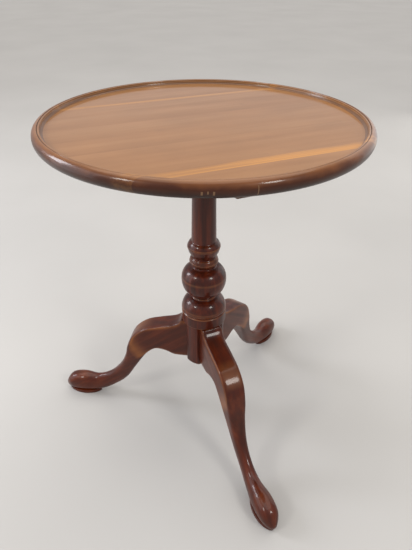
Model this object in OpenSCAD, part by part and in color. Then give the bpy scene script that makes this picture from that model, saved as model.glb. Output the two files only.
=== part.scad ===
// Tilt top tea table: a dished round top that tips up on two battens, a block and a turned tripod column.
// Millimetres, +Z up. The origin is on the floor under the middle of the column.
// The front leg points to -Y, the top's grain runs along X and its battens run along Y.

/* [Overall] */
// Height of the rim above the floor
table_h = 711; // [620:1:800]
// Diameter of the top over its moulded edge
top_d = 565; // [440:1:700]
// Distance from the middle of the column to the tip of a toe
leg_reach = 358; // [280:1:430]

/* [Top] */
// Thickness of the top at its rim
top_t = 24; // [20:0.5:36]
// Depth that the dish is turned down below the rim
dish_depth = 8; // [3:0.5:10]
// Width of the raised rim, from the outside to the foot of its inner wall
rim_w = 14; // [11:0.5:24]
// Width of the small bead inside the rim's roll
bead_w = 4; // [2:0.5:5]
// Width of the front board, from the edge to its glue joint
front_board_w = 70.5; // [60:0.5:110]
// Width of the back board, from its glue joint to the edge
back_board_w = 122.5; // [70:0.5:140]
// Width of a batten
batten_w = 25; // [20:1:40]
// Wood left under the pivot bore of a batten
batten_cover = 3; // [1.5:0.5:8]
// Depth of a batten at its thinned ends
batten_end_t = 9; // [6:0.5:14]
// Length of the thinned stretch at each end of a batten
batten_taper = 80; // [40:1:110]
// Distance from the top's edge to the ends of the battens, along the battens
batten_inset = 29.5; // [25:0.5:60]

/* [Tilt block] */
// Width of the block, between the battens
block_w = 68; // [60:1:100]
// Length of the block from its pivot end to its catch end
block_l = 110; // [96:1:140]
// Thickness of the block
block_t = 31; // [28:0.5:40]
// Distance from the column's axis to the pivot, towards +Y
pivot_y = 40; // [34:0.5:60]
// Distance from the underside of the top down to the pivot
pivot_drop = 15; // [13:0.5:18]
// Radius of the two hardwood pivot pins
pin_r = 8; // [5:0.5:9]
// Depth that a pin is glued into the block
pin_in_block = 24; // [16:1:28]
// Running clearance between a pin and its bore in the batten
pin_clear = 0.08; // [0.03:0.01:0.1]
// Gap between the block and whatever swings past it
swing_gap = 0.4; // [0.3:0.1:1]
// Gap between each side of the block and the batten beside it
side_gap = 1; // [0.5:0.1:2]

/* [Column] */
// Radius of the column's foot, where the legs are housed
foot_r = 43.5; // [41:0.5:45]
// Height of the column's lower end above the floor
foot_z = 172; // [150:1:190]
// Radius of the plain band above the legs
band_r = 47; // [45:0.5:54]
// Height of the plain band
band_h = 25; // [14:0.5:26]
// Height of the lower bead's arris above the band's lower edge
base_bead_up = 36; // [35.5:0.5:38]
// Height of the ball's widest place above the band's lower edge
ball_up = 105; // [105:0.5:112]
// Height of the thin ring's widest place above the band's lower edge
ring_up = 147; // [146:0.5:160]
// Height of the collar's widest place above the band's lower edge
collar_up = 179; // [178:0.5:196]
// Radius of the big lower bead
base_bead_r = 47.3; // [44:0.1:52]
// Greatest radius of the turned ball
ball_r = 46.4; // [42:0.1:50]
// Radius of the thin ring above the ball
ring_r = 29.5; // [27:0.1:34]
// Radius of the collar bead at the foot of the shaft
collar_r = 33.3; // [30:0.1:38]
// Radius of the shaft just above the collar
shaft_low_r = 24.7; // [22:0.1:26]
// Radius of the shaft under the block
shaft_top_r = 21; // [18:0.1:24]
// Radius of the tenon that passes through the block
tenon_r = 16; // [12:0.5:17]
// Thickness of the wedge at its driven end
wedge_t = 4; // [2:0.5:6]
// Depth that the wedge is driven into the tenon
wedge_l = 20; // [12:1:26]

/* [Legs] */
// Height of the leg's shoulder at the column
shoulder_z = 278; // [250:1:300]
// Angle of the left and right legs behind the X axis
leg_spread = 32.4; // [26:0.1:34]
// Distance from the column's axis to the flat that a leg butts against
flat_s = 32.5; // [31:0.5:36]
// Thickness of a leg at the column and the knee
leg_t = 46; // [40:0.5:52]
// Thickness of a leg at its ankle
ankle_t = 25.5; // [20:0.5:32]
// Width of the slipper foot
foot_w = 41; // [36:0.5:54]
// Thickness of the pad carved under the foot
pad_t = 9; // [6:0.5:12]
// Distance that the pad's sides are set in from the foot's
pad_inset = 1; // [0:0.5:5]
// Length of the pad
pad_l = 84; // [60:1:96]
// Depth of the dovetail, from the flat towards the axis
tail_depth = 11; // [8:0.5:12]
// Width of the dovetail where it leaves the leg
tail_neck = 14; // [10:0.5:18]
// Width of the dovetail along its inner edge
tail_back = 20; // [14:0.5:22]
// Distance from the upper end of the dovetail to the leg's shoulder
tail_stop = 28; // [16:1:40]

/* [Brace] */
// Thickness of the iron brace under the column
brace_t = 2; // [1.5:0.1:4]
// Radius of the round middle of the brace
brace_r = 26; // [20:0.5:32]
// Distance from the axis to the end of an arm
brace_reach = 58; // [50:0.5:64]
// Width of an arm
brace_w = 20; // [14:0.5:26]

/* [Catch] */
// Width of the sliding bolt
bolt_w = 14; // [10:0.5:18]
// Thickness of the sliding bolt
bolt_t = 6; // [4:0.5:7]
// Length of the sliding bolt
bolt_l = 42; // [32:0.5:52]
// Travel of the bolt when the knob is drawn back
bolt_travel = 6; // [4:0.5:7]
// Distance from the underside of the top down to the bolt
bolt_drop = 2.7; // [2:0.1:4]
// Wall of the cast case
case_wall = 1.6; // [1:0.1:2.5]
// Length of the spring between the bolt and the back of the case
spring_l = 13.2; // [12:0.2:20]
// Width of each screwed flange
flange_w = 10; // [8:0.5:14]
// Thickness of the flanges
flange_t = 2; // [1.2:0.1:3]
// Sliding clearance round the bolt
slide_gap = 0.4; // [0.2:0.05:0.6]
// Radius of the knob
knob_r = 7; // [5:0.5:8]
// Length of the knob below the case
knob_l = 12; // [8:0.5:16]
// Radius of the knob's stem
stem_r = 2.8; // [2:0.1:3.4]
// Thickness of the strike plate
strike_t = 2.5; // [1.5:0.1:4]
// Width of the strike plate
strike_w = 36; // [28:0.5:44]
// Height of the strike plate
strike_h = 22; // [18:0.5:26]

/* [Screws] */
// Radius of the long screws through the battens
wood_screw_r = 2.2; // [1.5:0.1:3]
// Depth that a batten screw bites into a board
screw_bite = 11; // [6:0.5:13]
// Radius of the small brass screws
brass_screw_r = 1.4; // [1:0.1:1.8]
// Depth that a small brass screw goes into the wood
brass_screw_bite = 10; // [6:0.5:13]
// Clearance of a screw in its hole
screw_gap = 0.1; // [0.05:0.05:0.3]

/* [Hidden] */

$fn = 96;
top_r = top_d / 2;
underside_z = table_h - top_t;
dish_z = table_h - dish_depth;
board_count = 5;
inner_board_w = (top_d - front_board_w - back_board_w) / (board_count - 2);
joint_y = [for (i = [0 : board_count - 2]) front_board_w - top_r + i * inner_board_w];
batten_x = block_w / 2 + side_gap + batten_w / 2;
batten_half = top_r - batten_inset;
batten_t = pivot_drop + pin_r + batten_cover;

pivot_z = underside_z - pivot_drop;
block_round = pivot_drop - swing_gap;
block_top_z = pivot_z + block_round;
block_low_z = block_top_z - block_t;
block_back_y = pivot_y + block_round;
block_front_y = block_back_y - block_l;

band_z = shoulder_z;
leg_angles = [270, 180 - leg_spread, leg_spread];
tail_l = shoulder_z - foot_z - tail_stop;
brace_z = foot_z - brace_t;
brace_screw_s = (flat_s + brace_reach) / 2;

bolt_z = underside_z - bolt_drop - bolt_t;
case_low_z = bolt_z - slide_gap - case_wall;
case_half_w = bolt_w / 2 + slide_gap + case_wall;
nose_y = block_front_y + bolt_travel - slide_gap / 2;
bolt_back_y = nose_y - bolt_l;
case_front_y = block_front_y - bolt_travel / 2;
case_back_y = bolt_back_y - spring_l - case_wall;
case_l = case_front_y - case_back_y;
stem_y = bolt_back_y + bolt_l / 4;
knob_top_z = case_low_z - slide_gap;
pocket_l = bolt_travel + 4;
spring_coils = 5;
spring_r = 2.3;
wire_r = 0.4;

head_r = 2 * wood_screw_r;
head_t = 2.4;
small_head_r = 2.6;
small_head_t = 1.2;
slot_w = 0.8;

dark_wood = [0.24, 0.09, 0.05];
top_wood = [0.62, 0.36, 0.22];
under_wood = [0.40, 0.22, 0.13];
brass = [0.78, 0.62, 0.30];
iron = [0.25, 0.24, 0.23];

// n + 1 points along an elliptic arc about [cx, cy], from angle a to angle b
function arc(cx, cy, rx, ry, a, b, n) =
    [for (i = [0 : n]) let (t = a + (b - a) * i / n) [cx + rx * cos(t), cy + ry * sin(t)]];

// Point on a smooth curve through a list of values, where u runs from 0 to the last index
function spline(v, u) =
    let (last = len(v) - 1, i = min(floor(u), last - 1), t = u - i)
    let (p0 = v[max(i - 1, 0)], p1 = v[i], p2 = v[i + 1], p3 = v[min(i + 2, last)])
    0.5 * (2 * p1 + (p2 - p0) * t + (2 * p0 - 5 * p1 + 4 * p2 - p3) * t * t
        + (3 * p1 - p0 - 3 * p2 + p3) * t * t * t);

// A number raised to a power, with its sign kept
function signed_pow(x, p) = sign(x) * pow(abs(x), p);

// Triangles that close a tube of closed rings laid one after the other
function tube_faces(rings, n) = concat(
    [[for (j = [0 : n - 1]) j]],
    [for (i = [0 : rings - 2]) for (j = [0 : n - 1]) let (k = (j + 1) % n)
        [i * n + j, (i + 1) * n + j, i * n + k]],
    [for (i = [0 : rings - 2]) for (j = [0 : n - 1]) let (k = (j + 1) % n)
        [i * n + k, (i + 1) * n + j, (i + 1) * n + k]],
    [[for (j = [n - 1 : -1 : 0]) (rings - 1) * n + j]]);

// A round-headed slotted screw standing on its tip's axis: the head is below, the shank goes up to len
module screw(r, head, head_h, len, gap = 0) {
    difference() {
        union() {
            translate([0, 0, -head_h])
                cylinder(h = head_h, r = head + gap);
            cylinder(h = len, r = r + gap);
        }
        if (gap == 0)
            translate([-head, -slot_w / 2, -head_h - 1])
                cube([2 * head, slot_w, 1 + head_h / 2]);
    }
}

// ---- the turned column ----

// Half outline of the column, from the axis at its foot to the axis at the tenon's end
function column_outline() =
    let (bead_z = band_z + base_bead_up, ball_z = band_z + ball_up)
    let (ring_z = band_z + ring_up, collar_z = band_z + collar_up)
    concat(
        [[0, foot_z], [foot_r - 2, foot_z], [foot_r, foot_z + 2], [foot_r, band_z]],
        [[band_r - 1, band_z], [band_r, band_z + 1], [band_r, band_z + band_h - 1]],
        [[band_r - 1, band_z + band_h], [band_r - 2.5, band_z + band_h + 1]],
        arc(base_bead_r - 5, bead_z - 4, 5, 5.5, -60, 0, 5),
        [[base_bead_r - 0.4, bead_z]],
        arc(base_bead_r - 24.3, bead_z - 4, 23.6, 28, 15, 80, 9),
        [[26, bead_z + 24.6], [26, bead_z + 26], [24.8, bead_z + 26.8]],
        [[25.6, ball_z - 41.5], [29, ball_z - 38.5], [33.4, ball_z - 33]],
        arc(24.6, ball_z - 1, ball_r - 24.6, 35, -46, 0, 6),
        [[ball_r - 0.5, ball_z + 4.5]],
        arc(24, ball_z - 2, ball_r - 23.8, 30, 18, 84, 9),
        [[24, ring_z - 12.5], [24, ring_z - 9.5]],
        arc(22.5, ring_z, ring_r - 22.5, 8.6, -68, 0, 4),
        arc(22.5, ring_z + 0.4, ring_r - 23.1, 9, 0, 70, 5),
        [[24, ring_z + 9.8], [27, collar_z - 16], [30.8, collar_z - 9.3], [collar_r - 0.8, collar_z - 2.5]],
        [[collar_r, collar_z], [collar_r - 0.2, collar_z + 3]],
        arc(20, collar_z - 2, collar_r - 20.1, 17, 24, 64, 6),
        [[shaft_low_r, collar_z + 15], [shaft_top_r, block_low_z], [tenon_r, block_low_z]],
        [[tenon_r, block_top_z], [0, block_top_z]]);

// Cross-section of one dovetail, pointing inwards from the flat at flat_s
module tail_shape(overlap) {
    polygon([[flat_s - tail_depth, -tail_back / 2], [flat_s, -tail_neck / 2],
        [flat_s + overlap, -tail_neck / 2], [flat_s + overlap, tail_neck / 2],
        [flat_s, tail_neck / 2], [flat_s - tail_depth, tail_back / 2]]);
}

// The wedge thins towards its lower end. The kerf that it is driven into is cut past the tenon by extra
module wedge_shape(extra) {
    intersection() {
        cylinder(h = block_top_z + extra, r = tenon_r + extra);
        rotate([90, 0, 90])
            translate([0, 0, -tenon_r - extra])
                linear_extrude(2 * (tenon_r + extra))
                    polygon([[-wedge_t / 2, block_top_z], [-0.4, block_top_z - wedge_l],
                        [0.4, block_top_z - wedge_l], [wedge_t / 2, block_top_z],
                        [wedge_t / 2, block_top_z + extra], [-wedge_t / 2, block_top_z + extra]]);
    }
}

module column() {
    color(dark_wood)
        difference() {
            rotate_extrude() polygon(column_outline());
            for (a = leg_angles)
                rotate([0, 0, a]) {
                    translate([flat_s, -foot_r, foot_z - 1])
                        cube([foot_r, 2 * foot_r, shoulder_z - foot_z + 1]);
                    translate([0, 0, foot_z - 1])
                        linear_extrude(tail_l + 1) tail_shape(1);
                }
            wedge_shape(1);
            for (a = leg_angles)
                rotate([0, 0, a])
                    translate([brace_r * 0.6, 0, brace_z])
                        screw(wood_screw_r, head_r, head_t, 16, screw_gap);
        }
}

module tenon_wedge() {
    color(under_wood) wedge_shape(0);
}

// ---- the cabriole legs ----

// Each row is one slice through the leg, as hundredths of the reach beyond the flat and of the
// shoulder's height: top line out, top line up, bottom line out, bottom line up.
slices = [[0, 100, 0, 61.9], [4.2, 100, 4, 61.9], [5.6, 97.4, 5.2, 61.9], [8, 94.8, 7.4, 61.9],
    [12, 92.6, 10.8, 62.5], [20.8, 89.8, 16.4, 65.5], [31, 85.5, 23.4, 66.1], [39.6, 77.1, 29.8, 60],
    [44.6, 64.8, 35, 50.7], [47.8, 50.9, 41, 38.4], [53.6, 36.7, 48.2, 23.9], [62.8, 25.3, 57.2, 13.5],
    [73.4, 19.6, 68, 5.1], [85, 19.6, 80.4, 2.1], [94.6, 16.1, 91.4, 1.9], [99.8, 6.3, 97.8, 2.1]];
// Width of each slice as a share of the way from the ankle to the knee, or to the foot past the ankle
knee_share = [1, 1, 1, 1, 1, 1, 1, 0.96, 0.78, 0.44, 0.12, 0, 0, 0, 0, 0];
foot_share = [0, 0, 0, 0, 0, 0, 0, 0, 0, 0, 0, 0, 0.3, 1, 0.72, -0.9];
// Squareness of each slice: 2 is an ellipse and more is closer to a rectangle
squareness = [9, 9, 9, 9, 9, 9, 9, 8, 6, 3.8, 2.6, 2.2, 2.1, 2.3, 2.3, 2.1];
steps_per_slice = 3;
ring_points = 28;

function slice_point(c, u) =
    let (row = [for (r = slices) r[c]]) spline(row, u) / 100;
function leg_ring(u) =
    let (reach = leg_reach - flat_s)
    let (top = [flat_s + reach * slice_point(0, u), shoulder_z * min(1, slice_point(1, u))])
    let (low = [flat_s + reach * slice_point(2, u), shoulder_z * slice_point(3, u)])
    let (half = (ankle_t + (leg_t - ankle_t) * spline(knee_share, u)
        + (foot_w - ankle_t) * spline(foot_share, u)) / 2)
    let (mid = (top + low) / 2, rise = (top - low) / 2, p = 2 / spline(squareness, u))
    [for (j = [0 : ring_points - 1])
        let (t = 360 * (j + 0.5) / ring_points)
        let (side = half * signed_pow(cos(t), p), up = signed_pow(sin(t), p))
        [mid[0] + rise[0] * up, side, mid[1] + rise[1] * up]];

// Outline of the pad: a long oval that comes to a soft point at each end
function pad_outline() =
    let (n = 16, half = foot_w / 2 - pad_inset, mid = leg_reach - 8 - pad_l / 2)
    concat(
        [for (i = [0 : n]) let (x = cos(180 * i / n))
            [mid + x * pad_l / 2, half * pow(1 - x * x, 0.62)]],
        [for (i = [1 : n - 1]) let (x = cos(180 + 180 * i / n))
            [mid + x * pad_l / 2, -half * pow(1 - x * x, 0.62)]]);

module leg(a) {
    count = steps_per_slice * (len(slices) - 1) + 1;
    rings = [for (i = [0 : count - 1]) leg_ring(i / steps_per_slice)];
    color(dark_wood)
        rotate([0, 0, a])
            difference() {
                union() {
                    polyhedron([for (r = rings) for (q = r) q], tube_faces(count, ring_points));
                    translate([0, 0, foot_z])
                        linear_extrude(tail_l) tail_shape(6);
                    linear_extrude(pad_t) polygon(pad_outline());
                }
                brace_arm(brace_t);
                translate([flat_s, -leg_t, foot_z - 10])
                    cube([brace_reach - flat_s, 2 * leg_t, 10]);
                translate([brace_screw_s, 0, brace_z])
                    screw(wood_screw_r, head_r, head_t, 18, screw_gap);
            }
}

module leg_front() {
    leg(leg_angles[0]);
}

module leg_left() {
    leg(leg_angles[1]);
}

module leg_right() {
    leg(leg_angles[2]);
}

// ---- the iron brace ----

module brace_arm(h) {
    translate([0, -brace_w / 2, brace_z])
        cube([brace_reach - brace_w / 2, brace_w, h]);
    translate([brace_reach - brace_w / 2, 0, brace_z])
        cylinder(h = h, r = brace_w / 2);
}

module brace_plate() {
    color(iron)
        difference() {
            union() {
                translate([0, 0, brace_z])
                    cylinder(h = brace_t, r = brace_r);
                for (a = leg_angles)
                    rotate([0, 0, a]) brace_arm(brace_t);
            }
            for (a = leg_angles)
                for (s = [brace_screw_s, brace_r * 0.6])
                    rotate([0, 0, a])
                        translate([s, 0, brace_z - 1])
                            cylinder(h = brace_t + 2, r = wood_screw_r + screw_gap);
        }
}

module brace_screws() {
    color(iron)
        for (a = leg_angles)
            rotate([0, 0, a]) {
                translate([brace_screw_s, 0, brace_z])
                    screw(wood_screw_r, head_r, head_t, 18);
                translate([brace_r * 0.6, 0, brace_z])
                    screw(wood_screw_r, head_r, head_t, 16);
            }
}

// ---- the tilt block and its pivot pins ----

module block_side() {
    difference() {
        translate([block_front_y, block_low_z])
            square([block_l, block_t]);
        translate([pivot_y, pivot_z])
            square([block_round + 1, block_round + 1]);
    }
    translate([pivot_y, pivot_z]) circle(block_round);
}

module tilt_block() {
    color(under_wood)
        difference() {
            translate([-block_w / 2, 0, 0])
                rotate([90, 0, 90])
                    linear_extrude(block_w) block_side();
            translate([0, 0, block_low_z - 1])
                cylinder(h = block_t + 2, r = tenon_r);
            for (side = [-1, 1])
                translate([side * (block_w / 2 + 1), pivot_y, pivot_z])
                    rotate([0, -side * 90, 0])
                        cylinder(h = pin_in_block + 1, r = pin_r);
            translate([-strike_w / 2, block_front_y - 1, block_top_z - strike_h])
                cube([strike_w, strike_t + 1, strike_h + 1]);
            translate([-bolt_w / 2 - 1, block_front_y, bolt_z - 1])
                cube([bolt_w + 2, pocket_l, bolt_t + 2]);
            strike_screw_places() screw(brass_screw_r, small_head_r, small_head_t, 14, screw_gap);
        }
}

module pivot_pin(side) {
    color(under_wood)
        translate([side * (block_w / 2 - pin_in_block), pivot_y, pivot_z])
            rotate([0, side * 90, 0])
                cylinder(h = pin_in_block + side_gap + batten_w - 2, r = pin_r);
}

module pivot_pin_left() {
    pivot_pin(-1);
}

module pivot_pin_right() {
    pivot_pin(1);
}

// ---- the boards of the dished top ----

// Half outline of the top: flat underside, bullnose edge, quirk, small bead and dished floor
function top_outline() = concat(
    [[0, underside_z], [top_r - 10, underside_z]],
    arc(top_r - 10, table_h - top_t / 2, 10, top_t / 2, -80, 90, 12),
    [[top_r - 10.5, table_h - 1.4]],
    arc(top_r - 10.5 - bead_w / 2, table_h - 1.6, bead_w / 2 - 0.1, 1.4, 10, 170, 5),
    [[top_r - rim_w + 0.2, table_h - 2.6], [top_r - rim_w - 0.8, dish_z + 1.4]],
    [[top_r - rim_w - 2.6, dish_z + 0.2], [top_r - rim_w - 5, dish_z], [0, dish_z]]);

module top_board(i) {
    low = i == 0 ? -top_r - 1 : joint_y[i - 1];
    high = i == board_count - 1 ? top_r + 1 : joint_y[i];
    color(top_wood)
        difference() {
            intersection() {
                rotate_extrude() polygon(top_outline());
                translate([-top_r - 1, low, underside_z - 1])
                    cube([top_d + 2, high - low, top_t + 2]);
            }
            batten_screw_places(i) batten_screw(batten_screw_y(i), screw_gap);
            catch_screw_places()
                cylinder(h = brass_screw_bite + screw_gap, r = brass_screw_r + screw_gap);
        }
}

module top_board_1() {
    top_board(0);
}

module top_board_2() {
    top_board(1);
}

module top_board_3() {
    top_board(2);
}

module top_board_4() {
    top_board(3);
}

module top_board_5() {
    top_board(4);
}

// ---- the battens ----

// One screw holds each board: the outer two sit on the thinned ends
function batten_screw_y(i) =
    i == 0 ? -batten_half + 24 : i == board_count - 1 ? batten_half - 24 : joint_y[i] - inner_board_w / 2;
function batten_depth(y) =
    batten_end_t + (batten_t - batten_end_t) * min(1, (batten_half - abs(y)) / batten_taper);

module batten_screw_places(i) {
    for (side = [-1, 1])
        translate([side * batten_x, batten_screw_y(i), underside_z]) children();
}

// The head sits in a flat-bottomed counterbore, 4 mm above the batten's face at that place
module batten_screw(y, gap = 0) {
    seat = batten_depth(y) - 4 - head_t;
    translate([0, 0, -seat])
        screw(wood_screw_r, head_r, head_t, seat + screw_bite + gap, gap);
}

module batten(side) {
    color(under_wood)
        difference() {
            translate([side * batten_x - batten_w / 2, 0, 0])
                rotate([90, 0, 90])
                    linear_extrude(batten_w)
                        polygon([[-batten_half, underside_z], [-batten_half, underside_z - batten_end_t],
                            [-batten_half + batten_taper, underside_z - batten_t],
                            [batten_half - batten_taper, underside_z - batten_t],
                            [batten_half, underside_z - batten_end_t], [batten_half, underside_z]]);
            translate([side * batten_x - batten_w / 2 - 1, pivot_y, pivot_z])
                rotate([0, 90, 0])
                    cylinder(h = batten_w + 2, r = pin_r + pin_clear);
            for (i = [0 : board_count - 1])
                batten_screw_places(i) {
                    batten_screw(batten_screw_y(i), screw_gap);
                    translate([0, 0, -batten_depth(batten_screw_y(i)) - 8])
                        cylinder(h = 12, r = head_r + screw_gap);
                }
        }
}

module batten_left() {
    batten(-1);
}

module batten_right() {
    batten(1);
}

module batten_screws() {
    color(iron)
        for (i = [0 : board_count - 1])
            batten_screw_places(i) batten_screw(batten_screw_y(i));
}

// ---- the spring catch ----

module strike_screw_places() {
    for (side = [-1, 1])
        translate([side * (strike_w / 2 - 5), block_front_y + small_head_t, block_top_z - strike_h / 2 - 4])
            rotate([-90, 0, 0]) children();
}

module catch_strike() {
    color(brass)
        difference() {
            translate([-strike_w / 2, block_front_y, block_top_z - strike_h])
                cube([strike_w, strike_t, strike_h]);
            translate([-bolt_w / 2 - slide_gap, block_front_y - 1, bolt_z - slide_gap])
                cube([bolt_w + 2 * slide_gap, strike_t + 2, bolt_t + 2 * slide_gap]);
            strike_screw_places() screw(brass_screw_r, small_head_r, small_head_t, 14, screw_gap);
        }
}

module strike_screws() {
    color(brass) strike_screw_places() screw(brass_screw_r, small_head_r, small_head_t, 13);
}

module catch_screw_places() {
    for (side = [-1, 1])
        for (y = [case_front_y - 7, case_back_y + 7])
            translate([side * (case_half_w + flange_w / 2), y, underside_z]) children();
}

module catch_case() {
    inner_w = bolt_w + 2 * slide_gap;
    color(brass)
        difference() {
            union() {
                translate([-case_half_w, case_back_y, case_low_z])
                    cube([2 * case_half_w, case_l, underside_z - case_low_z]);
                translate([-case_half_w - flange_w, case_back_y, underside_z - flange_t])
                    cube([2 * (case_half_w + flange_w), case_l, flange_t]);
            }
            // the hollow that holds the bolt and its spring, closed by the board above
            translate([-inner_w / 2, case_back_y + case_wall, case_low_z + case_wall])
                cube([inner_w, case_l - 2 * case_wall, underside_z - case_low_z]);
            // the mouth that the bolt's nose comes out of
            translate([-inner_w / 2, case_front_y - case_wall - 1, bolt_z - slide_gap])
                cube([inner_w, case_wall + 2, bolt_t + 2 * slide_gap]);
            // the slot that the knob's stem slides along
            for (y = [stem_y - bolt_travel - slide_gap / 2, stem_y + slide_gap / 2])
                translate([0, y, case_low_z - 1])
                    cylinder(h = case_wall + 2, r = stem_r + slide_gap);
            translate([-stem_r - slide_gap, stem_y - bolt_travel - slide_gap / 2, case_low_z - 1])
                cube([2 * (stem_r + slide_gap), bolt_travel + slide_gap, case_wall + 2]);
            catch_screw_places()
                translate([0, 0, -flange_t - 1])
                    cylinder(h = flange_t + 2, r = brass_screw_r + screw_gap);
        }
}

module catch_screws() {
    color(brass)
        catch_screw_places()
            translate([0, 0, -flange_t])
                screw(brass_screw_r, small_head_r, small_head_t, flange_t + brass_screw_bite);
}

// A coil along Y between the case's back wall and the bolt's tail
module catch_spring() {
    n = 12;
    sides = 6;
    count = spring_coils * n + 1;
    low = case_back_y + case_wall + wire_r + 0.05;
    high = bolt_back_y - wire_r - 0.05;
    mid_z = bolt_z + bolt_t / 2;
    rings = [for (i = [0 : count - 1]) let (a = 360 * i / n, y = low + (high - low) * i / (count - 1))
        [for (j = [0 : sides - 1]) let (t = 360 * j / sides, r = spring_r + wire_r * cos(t))
            [r * cos(a), y + wire_r * sin(t), mid_z + r * sin(a)]]];
    color(iron)
        polyhedron([for (r = rings) for (q = r) q], tube_faces(count, sides));
}

module catch_bolt() {
    color(brass)
        difference() {
            translate([-bolt_w / 2, bolt_back_y, bolt_z])
                cube([bolt_w, bolt_l, bolt_t]);
            // the nose is bevelled on top, so that it snaps past the strike as the top comes down
            translate([-bolt_w / 2 - 1, nose_y, bolt_z + bolt_t])
                rotate([-35, 0, 0])
                    translate([0, -bolt_t, 0])
                        cube([bolt_w + 2, 2 * bolt_t, bolt_t]);
            translate([0, stem_y, bolt_z - 1])
                cylinder(h = bolt_t / 2 + 1, r = stem_r);
        }
}

module catch_knob() {
    color(brass)
        translate([0, stem_y, 0])
            rotate_extrude()
                polygon(concat(
                    [[0, bolt_z + bolt_t / 2], [0, knob_top_z - knob_l]],
                    arc(0, knob_top_z - knob_l + knob_r * 0.62, knob_r, knob_r * 0.62, -70, 55, 8),
                    [[stem_r + 0.4, knob_top_z - 2], [stem_r + 1.2, knob_top_z - 0.6]],
                    [[stem_r + 1.2, knob_top_z], [stem_r, knob_top_z], [stem_r, bolt_z + bolt_t / 2]]));
}

column();
leg_front();
leg_left();
leg_right();
brace_plate();
brace_screws();
tilt_block();
tenon_wedge();
pivot_pin_left();
pivot_pin_right();
catch_strike();
strike_screws();
top_board_1();
top_board_2();
top_board_3();
top_board_4();
top_board_5();
batten_left();
batten_right();
batten_screws();
catch_case();
catch_screws();
catch_spring();
catch_bolt();
catch_knob();
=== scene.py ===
"""Tilt top tea table: the surfaces and finishes that show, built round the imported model.

The frame is in metres, +Z up, with the origin on the floor under the middle of the column. The front leg
points to -Y, the top's grain runs along X and its battens along Y. Shapes are worked out in millimetres,
and place() turns them to metres.
"""

import math

import bmesh
import bpy
import numpy as np
from mathutils import Matrix, Vector


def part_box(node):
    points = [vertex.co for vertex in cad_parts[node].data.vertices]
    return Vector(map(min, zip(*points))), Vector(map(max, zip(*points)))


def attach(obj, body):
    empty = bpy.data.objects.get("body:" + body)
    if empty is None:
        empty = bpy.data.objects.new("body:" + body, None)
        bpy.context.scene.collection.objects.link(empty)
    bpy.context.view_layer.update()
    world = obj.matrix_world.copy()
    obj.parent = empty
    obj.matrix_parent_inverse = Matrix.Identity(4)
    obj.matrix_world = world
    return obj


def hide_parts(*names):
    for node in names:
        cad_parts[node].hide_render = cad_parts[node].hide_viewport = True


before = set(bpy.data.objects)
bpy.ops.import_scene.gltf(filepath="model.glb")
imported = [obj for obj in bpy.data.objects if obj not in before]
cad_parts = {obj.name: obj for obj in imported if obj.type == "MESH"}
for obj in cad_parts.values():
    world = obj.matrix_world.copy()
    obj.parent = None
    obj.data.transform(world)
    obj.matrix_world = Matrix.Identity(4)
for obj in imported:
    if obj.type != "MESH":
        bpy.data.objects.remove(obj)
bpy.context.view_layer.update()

# ---- sizes in millimetres, from the frame and from the turner's and carver's dimensions ----

MM = 0.001


def corners(node):
    """Lowest and highest corner of a CAD node at rest, in millimetres."""
    low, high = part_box(node)
    return np.array(low) / MM, np.array(high) / MM


# The top: its boards and their joints, its radius, underside, face and thickness
BOARDS = [f"top_board_{i}" for i in range(1, 6)]
BOARD_EDGES = [corners(name)[0][1] for name in BOARDS] + [corners(BOARDS[-1])[1][1]]
TOP_R = BOARD_EDGES[-1]
UNDERSIDE_Z, TABLE_H = corners(BOARDS[2])[0][2], corners(BOARDS[2])[1][2]
TOP_T = TABLE_H - UNDERSIDE_Z
# Depth of the dish, and widths of the whole rim, of its small bead and of its rounded edge
DISH_DEPTH, RIM_W, BEAD_W, NOSE_W = 8, 14, 4, 10
DISH_Z = TABLE_H - DISH_DEPTH
# Height of the small bead over its quirk, and radius of the cove at the foot of the rim
BEAD_H, COVE_R = 1.4, 4.6

# The column: its two ends, the underside of the block and the shoulder that the legs come up to
FOOT_Z, COLUMN_TOP_Z = corners("column")[0][2], corners("column")[1][2]
BLOCK_LOW_Z = corners("tilt_block")[0][2]
SHOULDER_Z = corners("leg_front")[1][2]
BAND_Z = SHOULDER_Z
# Radii of the foot and of the turned band, and the band's height
FOOT_R, BAND_R, BAND_H = 43.5, 47, 25
# Radius of each swelling at its widest, and how far its middle is above the band's lower edge
BASE_BEAD_R, BALL_R, RING_R, COLLAR_R = 47.3, 46.4, 29.5, 33.3
BASE_BEAD_UP, BALL_UP, RING_UP, COLLAR_UP = 36, 105, 147, 179
# How far the sharp arris of the ball and of the collar is above its middle
BALL_ARRIS_UP, COLLAR_ARRIS_UP = 4.5, 3
# Radii of the shaft at its foot and its top and of the tenon
SHAFT_LOW_R, SHAFT_TOP_R, TENON_R = 24.7, 21, 16
# How far the end of the tenon is sunk in the block
TENON_SUNK = 0.2
# Distance from the column's axis to the flats that the legs butt against
FLAT_S = 32.5
# A bend of this radius or less holds the most: rubbed varnish and painted highlight on a convex bend,
# painted shade on a concave one
SHARP_R = 4

# The legs: how far they reach, and the angle of each, in degrees from +X
LEG_REACH = -corners("leg_front")[0][1]
LEG_SPREAD = 32.4
LEG_ANGLES = {"leg_front": 270, "leg_left": 180 - LEG_SPREAD, "leg_right": LEG_SPREAD}
# Widths of a leg at the knee, the ankle and the foot
LEG_T, ANKLE_T, FOOT_W = 46, 25.5, 41
# The pad under a foot: height, length, how far it is set in from the foot's sides and back from its toe
PAD_T, PAD_L, PAD_INSET, PAD_BACK = 9, 84, 1, 8
PAD_MIDDLE = LEG_REACH - PAD_BACK - PAD_L / 2
# Middle of the knee's crest and of the top of the foot: distance from the column's axis and height
KNEE_OUT, KNEE_UP = FLAT_S + 0.36 * (LEG_REACH - FLAT_S), 0.83 * SHOULDER_Z
TOE_OUT, TOE_UP = LEG_REACH - 50, 52
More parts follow.
